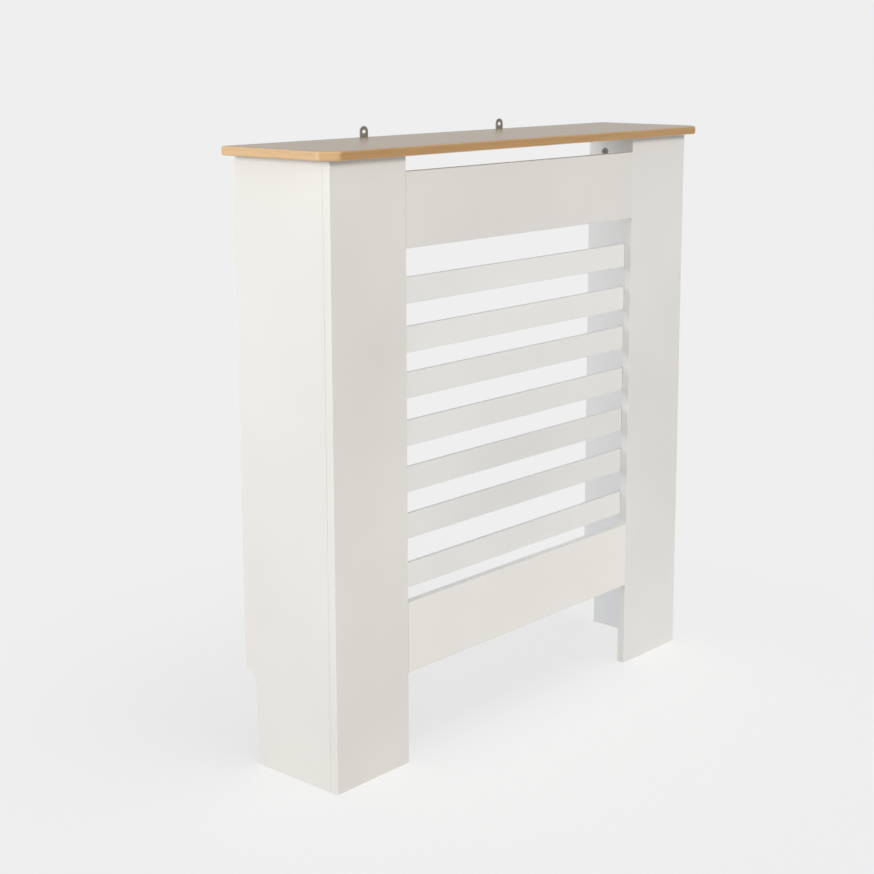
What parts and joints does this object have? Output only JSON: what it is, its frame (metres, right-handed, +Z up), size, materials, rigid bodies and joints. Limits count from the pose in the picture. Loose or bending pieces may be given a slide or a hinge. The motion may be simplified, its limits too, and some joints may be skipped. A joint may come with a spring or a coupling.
{
  "type": "radiator cover cabinet",
  "caption": "Free-standing cover for a wall radiator: slatted front frame, two side panels and a clipped-corner shelf, held to the wall by two small brackets.",
  "frame": {"origin": "middle of the space that the cover takes, from the front edge of the shelf to the backs of the wall brackets, on the floor", "axes": "+X to the right seen from the room, +Y towards the wall, +Z up"},
  "size_m": [0.8, 0.1914, 0.8346],
  "materials": {
    "painted_board": "satin white paint on MDF",
    "shelf_laminate": "satin oak-effect laminate on MDF",
    "bracket_zinc": "zinc-plated, satin",
    "cam_zinc": "die-cast, dull",
    "screw_steel": "bright zinc-plated",
    "beech_dowel": "bare beech"
  },
  "bodies": {
    "cover": {"top_shelf": "shelf_laminate", "left_side_panel": "painted_board", "left_stile": "painted_board", "right_side_panel": "painted_board", "right_stile": "painted_board", "top_rail": "painted_board", "bottom_rail": "painted_board", "slat_1": "painted_board", "slat_2": "painted_board", "slat_3": "painted_board", "slat_4": "painted_board", "slat_5": "painted_board", "slat_6": "painted_board", "slat_7": "painted_board", "shelf_bolt_left_front": "screw_steel", "shelf_bolt_left_rear": "screw_steel", "stile_bolt_left_lower": "screw_steel", "stile_bolt_left_upper": "screw_steel", "shelf_bolt_right_front": "screw_steel", "shelf_bolt_right_rear": "screw_steel", "stile_bolt_right_lower": "screw_steel", "stile_bolt_right_upper": "screw_steel", "top_rail_dowel_left_lower": "beech_dowel", "top_rail_dowel_left_upper": "beech_dowel", "top_rail_dowel_right_lower": "beech_dowel", "top_rail_dowel_right_upper": "beech_dowel", "bottom_rail_dowel_left_lower": "beech_dowel", "bottom_rail_dowel_left_upper": "beech_dowel", "bottom_rail_dowel_right_lower": "beech_dowel", "bottom_rail_dowel_right_upper": "beech_dowel", "slat_1_screw_left": "screw_steel", "slat_1_screw_right": "screw_steel", "slat_2_screw_left": "screw_steel", "slat_2_screw_right": "screw_steel", "slat_3_screw_left": "screw_steel", "slat_3_screw_right": "screw_steel", "slat_4_screw_left": "screw_steel", "slat_4_screw_right": "screw_steel", "slat_5_screw_left": "screw_steel", "slat_5_screw_right": "screw_steel", "slat_6_screw_left": "screw_steel", "slat_6_screw_right": "screw_steel", "slat_7_screw_left": "screw_steel", "slat_7_screw_right": "screw_steel", "left_wall_bracket": "bracket_zinc", "right_wall_bracket": "bracket_zinc", "left_bracket_screw_1": "screw_steel", "left_bracket_screw_2": "screw_steel", "right_bracket_screw_1": "screw_steel", "right_bracket_screw_2": "screw_steel"},
    "shelf_cam_left_front": {"shelf_cam_left_front": "cam_zinc"},
    "shelf_cam_left_rear": {"shelf_cam_left_rear": "cam_zinc"},
    "stile_cam_left_lower": {"stile_cam_left_lower": "cam_zinc"},
    "stile_cam_left_upper": {"stile_cam_left_upper": "cam_zinc"},
    "shelf_cam_right_front": {"shelf_cam_right_front": "cam_zinc"},
    "shelf_cam_right_rear": {"shelf_cam_right_rear": "cam_zinc"},
    "stile_cam_right_lower": {"stile_cam_right_lower": "cam_zinc"},
    "stile_cam_right_upper": {"stile_cam_right_upper": "cam_zinc"}
  },
  "joints": [
    {"name": "shelf_cam_left_front_turn", "type": "hinge", "parent": "cover", "child": "shelf_cam_left_front", "pos_m": [-0.368, -0.03325, 0.776], "axis": [1, 0, 0], "range_deg": [0, 180]},
    {"name": "shelf_cam_left_rear_turn", "type": "hinge", "parent": "cover", "child": "shelf_cam_left_rear", "pos_m": [-0.368, 0.06375, 0.776], "axis": [1, 0, 0], "range_deg": [0, 180]},
    {"name": "stile_cam_left_lower_turn", "type": "hinge", "parent": "cover", "child": "stile_cam_left_lower", "pos_m": [-0.368, -0.03175, 0.12], "axis": [1, 0, 0], "range_deg": [0, 180]},
    {"name": "stile_cam_left_upper_turn", "type": "hinge", "parent": "cover", "child": "stile_cam_left_upper", "pos_m": [-0.368, -0.03175, 0.688], "axis": [1, 0, 0], "range_deg": [0, 180]},
    {"name": "shelf_cam_right_front_turn", "type": "hinge", "parent": "cover", "child": "shelf_cam_right_front", "pos_m": [0.368, -0.03325, 0.776], "axis": [-1, 0, 0], "range_deg": [0, 180]},
    {"name": "shelf_cam_right_rear_turn", "type": "hinge", "parent": "cover", "child": "shelf_cam_right_rear", "pos_m": [0.368, 0.06375, 0.776], "axis": [-1, 0, 0], "range_deg": [0, 180]},
    {"name": "stile_cam_right_lower_turn", "type": "hinge", "parent": "cover", "child": "stile_cam_right_lower", "pos_m": [0.368, -0.03175, 0.12], "axis": [-1, 0, 0], "range_deg": [0, 180]},
    {"name": "stile_cam_right_upper_turn", "type": "hinge", "parent": "cover", "child": "stile_cam_right_upper", "pos_m": [0.368, -0.03175, 0.688], "axis": [-1, 0, 0], "range_deg": [0, 180]}
  ]
}
